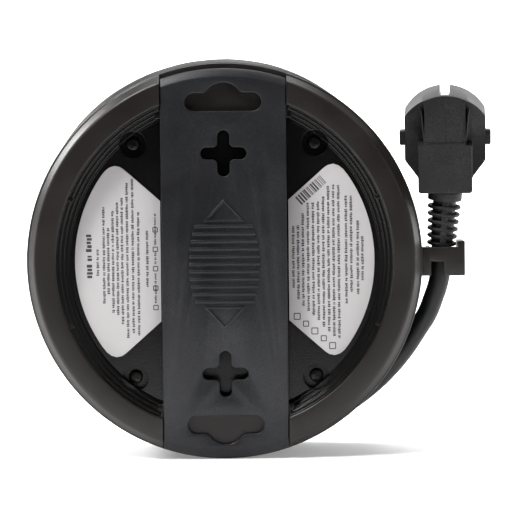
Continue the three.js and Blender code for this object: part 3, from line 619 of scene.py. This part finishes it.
scuff(strap_black, (0.04, 0.042, 0.048), 0.36)
scuff(shell_black, (0.03, 0.025, 0.023), 0.22)
# Painted shade: inside a radius of 72.5 mm, except the shallow floor under the strap, the dish and its ledges
# get a darker base colour. They also get a lower roughness.
shade_and_gloss_inside(shell_black, 0.0725, 0.007, (0.0035, 0.0032, 0.003), 0.24)


def keyhole(centre):
    quarter = arc(7.3, 0, 2.6, -90, 90) + [(4.4, 2.6), (3.95, 2.75)]
    quarter += arc(0, 0, 4.6, 38, 52, 4) + [(2.75, 3.95), (2.6, 4.4)]
    points = []
    for turn in range(4):
        c, s = (1, 0, -1, 0)[turn], (0, 1, 0, -1)[turn]
        points += [(x * c - z * s, x * s + z * c + centre) for x, z in quarter]
    return points


def hanging_slot(side):
    half = arc(12.5, 69.3, 3.9, -90, 90) + [(8.6, 73.2), (7.9, 73.45)]
    half += arc(0, 69, 8.6, 33, 90, 12)
    half += [(-x, z) for x, z in half[-2::-1]]
    return [(x, side * z) for x, z in half]


def strap():
    ends = math.degrees(math.asin(26.9 / 83.7))
    outline = arc(0, 0, 83.7, 90 - ends, 90 + ends, 40) + arc(0, 0, 83.7, 270 - ends, 270 + ends, 40)
    holes = [keyhole(47.3), keyhole(-47.3), hanging_slot(1), hanging_slot(-1)]
    band = plate(rounded(outline, 0.5, 2), 0.8, 3.8, 0.45, holes)
    slope = [(0, -1), (0, 5), (83.8, 5), (83.8, 3.25), (83.6, 3.05), (80.4, 0.9), (79.9, 0.75)]
    slope += [(79, 0.7), (79, -1)]
    changes = [("INTERSECT", turned(slope))]
    for half in (1, -1):
        for near, far, start, end in ((22.3, 24.1, 3, 7.8), (20.3, 24.1, 6.2, 7.8)):
            low, high = sorted((half * near, half * far))
            changes.append(("UNION", block((low, start, -34), (high, end, 34))))
    pieces = [shaped(band, *changes)]
    for i in range(-5, 6):
        reach = 15.1 + (12.7 - 15.1) * (i / 5) ** 2
        pieces.append(block((-reach, 0, i * 3.23 - 0.62), (reach, 1.3, i * 3.23 + 0.62), 0.34))
    for half in (1, -1):
        frame = [(-8.8, half * 18.3), (8.8, half * 18.3), (0, half * 27.7)]
        hole = [(-7.0, half * 19.15), (7.0, half * 19.15), (0, half * 26.6)]
        pieces.append(plate(rounded(frame, 0.7), 0.15, 1.3, 0.2, [rounded(hole, 0.5)]))
    return moved(joined(*pieces), strap_rest)


show("strap_band", strap(), strap_black, "strap", ["strap"])

# Labels: two printed film labels, one each side of the strap, shaped to the dish. The print is
# generic: rows of dashes, a few plain signs and a bar pattern.
label_film = finish_of("label_film", (0.50, 0.48, 0.485), 0.36, 500, 0.00001, 0.04)
label_ink = finish_of("label_ink", (0.05, 0.05, 0.055), 0.5, 700, 0.00001, 0.2)
label_tip = 34.5


def label(side):
    tip = [(43.2, -39.8), (44.9, -40.9), (47.2, -41.3), (49.4, -40.6), (51.3, -39.1)]
    outline = [(27.6, 26), (27.6, -26)] + tip + arc(0, 0, 64.6, -label_tip, label_tip, 36)
    outline += [(x, -z) for x, z in tip[::-1]]
    return plate([(side * x, z) for x, z in outline], 10.3, 10.7, 0.08)


def bars(marks):
    """Flat printed marks, each (middle x, middle z, width, height, turn in degrees)."""
    def build(drawing):
        for x, z, width, height, turn in marks:
            spin = Matrix.Rotation(math.radians(turn), 2)
            corners = [(-1, -1), (1, -1), (1, 1), (-1, 1)]
            points = [spin @ Vector((a * width / 2, b * height / 2)) for a, b in corners]
            drawing.faces.new([drawing.verts.new((x + p.x, 10.27, z + p.y)) for p in points])
    return mesh_of(build)


def text_row(marks, x, low, high, size, seed):
    """One line of small print that runs up the label: words made of plain strokes."""
    dice = random.Random(seed)
    z = low
    while z < high:
        for _ in range(dice.randint(2, 9)):
            wide = dice.choice((0.3, 0.42, 0.5)) * size
            across = x + dice.uniform(-0.08, 0.08) * size
            marks.append((across, z + wide / 2, size * dice.uniform(0.6, 0.95), wide, 0))
            z += wide + 0.16 * size
        z += 0.45 * size


def sign(marks, x, z, size):
    """A plain open square."""
    for side in (1, -1):
        marks.append((x + side * size / 2, z, 0.4, size, 0))
        marks.append((x, z + side * size / 2, size, 0.4, 0))


left_marks, right_marks = [], []
small_print = [
    (-52.1, -18, 19), (-50.2, -14, 15), (-48.2, -22, 22), (-46.2, -23, 24), (-44.2, -27, 27),
    (-42.0, -33, 34), (-39.6, -31, 33), (-37.2, -32, 20), (-33.4, -11, 12),
]
for i, (x, low, high) in enumerate(small_print):
    text_row(left_marks, x, low, high, 1.25, i)
text_row(left_marks, -58.4, -7, 9, 2.6, 21)
text_row(left_marks, -54.8, -6, 5, 1.3, 22)
for i in range(5):
    sign(left_marks, -29.9, -20 + i * 8.4, 1.9)
    text_row(left_marks, -29.9, -18 + i * 8.4, -14 + i * 8.4, 1.0, 30 + i)
small_print = [
    (29.6, -12, 12), (31.7, -17, 14), (33.8, -20, 17), (36.0, -22, 19), (38.2, -24, 22), (40.4, -26, 25),
    (42.6, -29, 27), (44.8, -31, 29), (47.0, -33, 32), (49.2, -34, 31), (52.4, -19, 26), (54.6, -14, 22),
    (57.4, -15, 13), (59.4, -9, 6),
]
for i, (x, low, high) in enumerate(small_print):
    text_row(right_marks, x, low, high, 1.3, 60 + i)
dice = random.Random(5)
slope = math.atan2(13.8, 15.6)
along = 0
while along < 14:
    thick = dice.choice((0.3, 0.45, 0.8))
    x, z = 32.3 + along * math.cos(slope), 25.6 + along * math.sin(slope)
    right_marks.append((x, z, thick, 4.4, math.degrees(slope)))
    along += thick + dice.choice((0.35, 0.55))
for i in range(5):
    sign(right_marks, 31.0 + i * 3.8, -24.4 - i * 3.2, 2.6 - 0.4 * (i % 2))
for side, name, marks in ((-1, "left", left_marks), (1, "right", right_marks)):
    show(f"label_{name}_film", label(side), label_film, nodes=[f"label_{name}"])
    show(f"label_{name}_print", bars(marks), label_ink)

# Case screws: four pan-head screws in near-black steel with a cross recess, at the bottom of the wells.
# They draw the back shell onto the columns of the front one.
def brushed(name, colour, roughness):
    """Plated or rolled metal with fine scratches."""
    material = finish_of(name, colour, roughness, 1200, 0.00002, 0.12)
    material.node_tree.nodes["Principled BSDF"].inputs["Metallic"].default_value = 1
    return material


zinc = brushed("zinc_steel", (0.56, 0.56, 0.54), 0.32)
black_steel = brushed("near_black_steel", (0.03, 0.029, 0.028), 0.4)


def screw(x, z, seat, length):
    profile = [
        (0, seat - 2.3), (1.6, seat - 2.25), (2.5, seat - 1.9), (2.95, seat - 1.2), (3, seat - 0.3),
        (3, seat),
        (1.5, seat), (1.5, seat + length - 1.5), (0, seat + length),
    ]
    changes = []
    for turn in (20, 110):
        wing = block((-1.7, -3, -0.32), (1.7, 1.5, 0.32))
        spin = Matrix.Translation((x, seat - 2.3, z)) @ Matrix.Rotation(math.radians(turn), 4, "Y")
        changes.append(("DIFFERENCE", moved(wing, spin)))
    return shaped(turned(profile, 40, (x, z)), *changes)


for i, (x, z) in enumerate(wells):
    case_screw = screw(x, z, 16.7, 18)
    show(f"cross_screw_{i + 1}", case_screw, black_steel, nodes=[f"case_screw_{i + 1}"])

# Front shell: the other half of the reel in the same black. It is the socket panel, the front
# flange and the hollow drum in one moulding, with columns that take the case screws.
panel_face = groove_end + 6.5
socket_turns = [math.radians(45 + i * 90) for i in range(4)]
socket_places = [(34 * math.cos(turn), 34 * math.sin(turn)) for turn in socket_turns]
panel_black = soften(finish_of("panel_black", (0.02, 0.02, 0.02), 0.38, 1300, 0.00002), 0.0003)


def front_shell():
    profile = [
        (0, panel_face), (69.4, panel_face), (69.9, 68.5), (71.3, 67.3), (71.9, 67.15), (83.4, 67.15),
        (84.2, 66.9), (84.8, 66.3), (85, 65.6), (85, 62.6), (84.6, groove_end), (core_radius, groove_end),
        (core_radius, 13.5), (66, 13.5), (66, 66.15), (0, 66.15),
    ]
    changes = []
    for x, z in wells:
        changes.append(("DIFFERENCE", rod(7.3, 0, 19, x, z)))
        column = shaped(rod(3.4, 19, 67, x, z), ("INTERSECT", rod(67.8, 0, 80)))
        changes.append(("UNION", column))
        changes.append(("DIFFERENCE", rod(1.8, 16, 38, x, z, 24)))
    for x, z in socket_places:
        changes.append(("DIFFERENCE", rod(21.6, 49, 70, x, z, 96)))
    changes.append(("DIFFERENCE", rod(7.1, 60, 70)))
    slot = block((-16, 12.2, -4.9), (34, 23.2, 4.9))
    spin = Matrix.Translation((entry[0], 0, entry[1])) @ Matrix.Rotation(math.radians(-50), 4, "Y")
    changes.append(("DIFFERENCE", moved(slot, spin)))
    return shaped(turned(profile), *changes)


show("front_shell_moulding", front_shell(), panel_black, nodes=["front_shell"])

# Socket inserts: four round cups pushed in from inside until their collars meet the panel. Each
# has two pin holes, two slots for the earth springs and a chamfered mouth.
insert_black = soften(finish_of("insert_black", (0.014, 0.014, 0.015), 0.33, 1100, 0.00002), 0.0003)


def socket_insert():
    profile = [
        (0, 49.15), (21.3, 49.15), (21.3, 63.85), (22.8, 63.85), (22.8, 65.85), (21.3, 65.85),
        (21.3, 68.3), (21.0, panel_face), (20.5, panel_face), (19.6, 67.7), (19.5, 67.3),
        (19.5, 51.6), (19.2, 51.15), (0, 51.15),
    ]
    changes = []
    for side in (1, -1):
        changes.append(("DIFFERENCE", rod(2.9, 48, 53, 34, side * 9.5)))
        changes.append(("DIFFERENCE", rod(3.4, 50.7, 53, 34, side * 9.5)))
        near, far = sorted((34 + side * 17.4, 34 + side * 19.5))
        changes.append(("DIFFERENCE", block((near, 48, -3.3), (far, 53, 3.3))))
        low, high = sorted((side * 17.6, side * 20))
        rail = shaped(block((31.5, 51, low), (36.5, 67, high), 0.2), ("INTERSECT", rod(20, 40, 80, 34, 0)))
        changes.append(("UNION", rail))
    return shaped(turned(profile, 128, (34, 0)), *changes)


for i in range(4):
    cup = around(socket_insert(), 45 + i * 90)
    show(f"socket_cup_{i + 1}", cup, insert_black, nodes=[f"socket_insert_{i + 1}"])

# Reset button: a small red domed push button that stands in the cut-out's neck.
button_red = finish_of("button_red", (0.42, 0.018, 0.012), 0.3, 900, 0.00001, 0.08)
dome = [(0, 57.95), (4.8, 57.95), (4.8, 67.7), (4.5, 68.15), (3.6, 68.4), (2, 68.52), (0, 68.55)]
show("red_button", turned(dome, 64), button_red, "reset_button", ["reset_button"])

# Plug: an angled earthed plug moulded onto the cord in black PVC, leaning a little to the back.
# Its round head has flats, earth grooves and side tabs. The back is scooped on both sides for
# the fingers, with a hump between the scoops that runs down into the square neck.
plug_black = soften(finish_of("plug_black", (0.0135, 0.0135, 0.014), 0.48, 1500, 0.00006, 0.3, 0.16), 0.0005)
plug_yaw = Matrix.Rotation(math.radians(-3.6), 4, "Z")
plug_stand = Matrix.Translation((97, 36.1, 55.45)) @ plug_yaw @ Matrix.Rotation(math.radians(9), 4, "X")
plug_half = 17.4
plug_back = 34


def prism(profile, half):
    """A bar along X with an outline of (depth, z) points."""
    bar = plate([(-a, b) for a, b in profile], -half, half, 0.001)
    return moved(bar, Matrix.Rotation(-math.pi / 2, 4, "Z"))


scuff(plug_black, (0.05, 0.05, 0.052), 0.5)


def plug_body():
    head = [
        (0, 0), (19.2, 0), (19.8, -0.25), (20, -0.8), (20, -32.2), (19.8, -32.8), (19.2, -33), (0, -33),
    ]
    upper = shaped(turned(head, 160), ("INTERSECT", block((-plug_half, -40, -8), (plug_half, 1, 30), 0.01)))
    disc = [(0, 0), (19.2, 0), (19.8, -0.25), (20, -0.8), (20, -21), (0, -21)]
    lower = shaped(turned(disc, 160), ("INTERSECT", block((-plug_half, -40, -30), (plug_half, 1, 0))))
    half = [(17.4, 2), (17.4, -9.5), (11.6, -17.4), (11.6, -22.35)]
    side = half + [(-x, z) for x, z in half[::-1]]
    shoulder = plate(rounded(side, 1.0), -28, -6, 0.5)
    block_face = [(-11.6, -0.4), (-11.6, -22.35), (11.6, -22.35), (11.6, -0.4)]
    neck = plate(rounded(block_face, 1.4), -plug_back, -20, 0.6)
    changes = [("UNION", lower), ("UNION", shoulder), ("UNION", neck)]
    for way in (1, -1):
        scoop = [(-45, 24), (-34.2, 19.4), (-31.4, 16.4), (-27.5, 11.5), (-24.6, 6), (-23.4, 0)]
        scoop += [(-23.4, -30), (-45, -30)]
        for near, far, floor in ((11.6, 22, -40), (8.8, 11.9, -1.4)):
            cutter = moved(prism(scoop, (far - near) / 2), Matrix.Translation((way * (near + far) / 2, 0, 0)))
            low, high = sorted((way * (near - 1), way * (far + 1)))
            keep = block((low, -60, floor), (high, 0, 40))
            changes.append(("DIFFERENCE", shaped(cutter, ("INTERSECT", keep))))
    body = shaped(upper, *changes)
    hump_side = [(-20, 19.3), (-32.0, 18.9), (-32.9, 17.6), (-33.5, 13.4), (-33.6, 10.5)]
    hump_side += [(-33.2, -2), (-20, -2)]
    taper = [(-9.6, 20), (-6.9, -1.4), (6.9, -1.4), (9.6, 20)]
    hump = shaped(prism(hump_side, 12), ("INTERSECT", plate(taper, -40, -10, 0.01)))
    hump = shaped(hump, ("INTERSECT", rod(19.9, -40, 0, 0, 0, 160)))
    changes = [("UNION", hump)]
    for way in (1, -1):
        groove = sorted((way * 15.8, way * 30))
        far_end = -30.5 if way > 0 else -21.5
        changes.append(("DIFFERENCE", block((-2.1, far_end, groove[0]), (2.1, 1, groove[1]))))
        changes.append(("DIFFERENCE", rod(2.7, -6, 1, way * 9.5, 0, 32)))
        near, far = sorted((way * 16.4, way * 19.7))
        changes.append(("UNION", block((near, -22, -3.2), (far, -17, 3.2), 0.7)))
    body = shaped(body, *changes)
    extras = []
    for way in (1, -1):
        rib = block((-0.35, -32.2, -0.8), (0.35, -23, 13.5), 0.2)
        lean = Matrix.Translation((way * 8.9, 0, 0)) @ Matrix.Rotation(way * math.radians(5), 4, "Y")
        extras.append(moved(rib, lean))
    extras.append(block((-0.12, -33.75, -0.6), (0.12, -33.0, 13), 0.03))
    return moved(joined(body, *extras), plug_stand)


moulded_plug = show("moulded_plug", plug_body(), plug_black, nodes=["plug_body"])

# Plug pins and earth contacts: two round nickel-plated pins, and a bent strip of the same metal
# lying in each groove of the head.
nickel = brushed("nickel_plate", (0.62, 0.60, 0.56), 0.24)
pin_line = [(0, -5.7), (2.4, -5.7), (2.4, 17.2), (2.2, 18.1), (1.7, 18.7), (0.9, 19), (0, 19)]
for side, name in ((-1, "left"), (1, "right")):
    pin = moved(turned(pin_line, 48, (side * 9.5, 0)), plug_stand)
    show(f"pin_{name}", pin, nickel, nodes=[f"plug_pin_{name}"])
for side, name in ((1, "top"), (-1, "bottom")):
    low, high = sorted((side * 16.1, side * 17))
    strip = moved(block((-2, -20, low), (2, -1, high), 0.25), plug_stand)
    show(f"earth_{name}", strip, nickel, nodes=[f"plug_earth_{name}"])

# Strain relief: moulded in one with the plug, a collar and six bending ribs on a thin sleeve.
# The ribs are open loops that meet in a spine down the back and another down the front.
relief_low = Vector((93.95, 17.65, 5.5))
relief_high = Vector((95.6, 14.9, 28.8))
relief_way = relief_high - relief_low
relief_length = relief_way.length
relief_up = relief_way.normalized()
relief_front = relief_up.cross(Vector((1, 0, 0))).normalized()
relief_side = relief_front.cross(relief_up)
relief_turn = Matrix((relief_side, relief_front, relief_up)).transposed().to_4x4()
relief_stand = Matrix.Translation(relief_low) @ relief_turn


def relief():
    upright = relief_stand @ Matrix.Rotation(math.pi / 2, 4, "X")
    sleeve = [(4.45, 0), (4.75, 0), (5.0, relief_length - 3.2), (4.45, relief_length - 3.2)]
    collar = [
        (4.45, relief_length - 3.6), (7.1, relief_length - 3.6), (7.35, relief_length - 3.2),
        (7.4, relief_length), (4.45, relief_length),
    ]
    pieces = [moved(turned(sleeve, 48), upright), moved(turned(collar, 64), upright)]
    for i in range(6):
        level = 1.0 + i * (relief_length - 5.6) / 5.6
        reach = 6.35 + 0.85 * i / 5
        ring = []
        for step in range(14):
            turn = 2 * math.pi * step / 14
            ring.append((reach - 0.75 + 0.75 * math.cos(turn), level + 0.78 * math.sin(turn)))
        pieces.append(moved(turned(ring, 64), upright))
    for side in (1, -1):
        near, far = sorted((side * 4.5, side * 6.2))
        spine = block((-1.35, near, 0.6), (1.35, far, relief_length - 3), 0.3)
        pieces.append(moved(spine, relief_stand))
    return joined(*pieces)


show("ribbed_relief", relief(), plug_black, nodes=["strain_relief"])

# Inside the drum: the carriers, brass strips, springs, cut-out, clamp, screws and leads keep
# their CAD shapes and take the finish of what they are made of.
inner = {
    "carrier_plastic": (
        "shutter_1", "shutter_2", "shutter_3", "shutter_4", "contact_carrier", "contact_cover", "cord_clamp",
    ),
    "contact_steel": ("earth_clip_1", "earth_clip_2", "earth_clip_3", "earth_clip_4"),
    "contact_brass": (
        "live_bus", "neutral_bus", "earth_bus", "bimetal_disc", "cutout_terminal_in", "cutout_terminal_out",
    ),
    "screw_steel": (
        "carrier_screw_1", "carrier_screw_2", "carrier_screw_3", "carrier_screw_4",
        "clamp_screw_1", "clamp_screw_2",
    ),
    "cutout_plastic": ("thermal_cutout",),
    "cord_pvc": ("inner_cord",),
    "lead_brown": ("live_lead", "cutout_lead"),
    "lead_blue": ("neutral_lead",),
    "lead_green": ("earth_lead",),
}
inner_finish = {
    "carrier_plastic": finish_of("ivory_carrier", (0.62, 0.58, 0.49), 0.5, 800, 0.00002, 0.06),
    "contact_steel": brushed("spring_steel", (0.5, 0.5, 0.5), 0.3),
    "contact_brass": brushed("contact_brass", (0.6, 0.42, 0.16), 0.3),
    "screw_steel": zinc,
    "cutout_plastic": finish_of("cutout_black", (0.02, 0.02, 0.02), 0.45, 900, 0.00002),
    "cord_pvc": cord_sheath,
    "lead_brown": finish_of("lead_brown", (0.12, 0.045, 0.02), 0.4, 900, 0.00001, 0.1),
    "lead_blue": finish_of("lead_blue", (0.02, 0.12, 0.38), 0.4, 900, 0.00001, 0.1),
    "lead_green": finish_of("lead_green_yellow", (0.3, 0.42, 0.04), 0.4, 900, 0.00001, 0.3),
}
for slot_name, names in inner.items():
    for name in names:
        frame["nodes"][name].data.materials.clear()
        frame["nodes"][name].data.materials.append(inner_finish[slot_name])
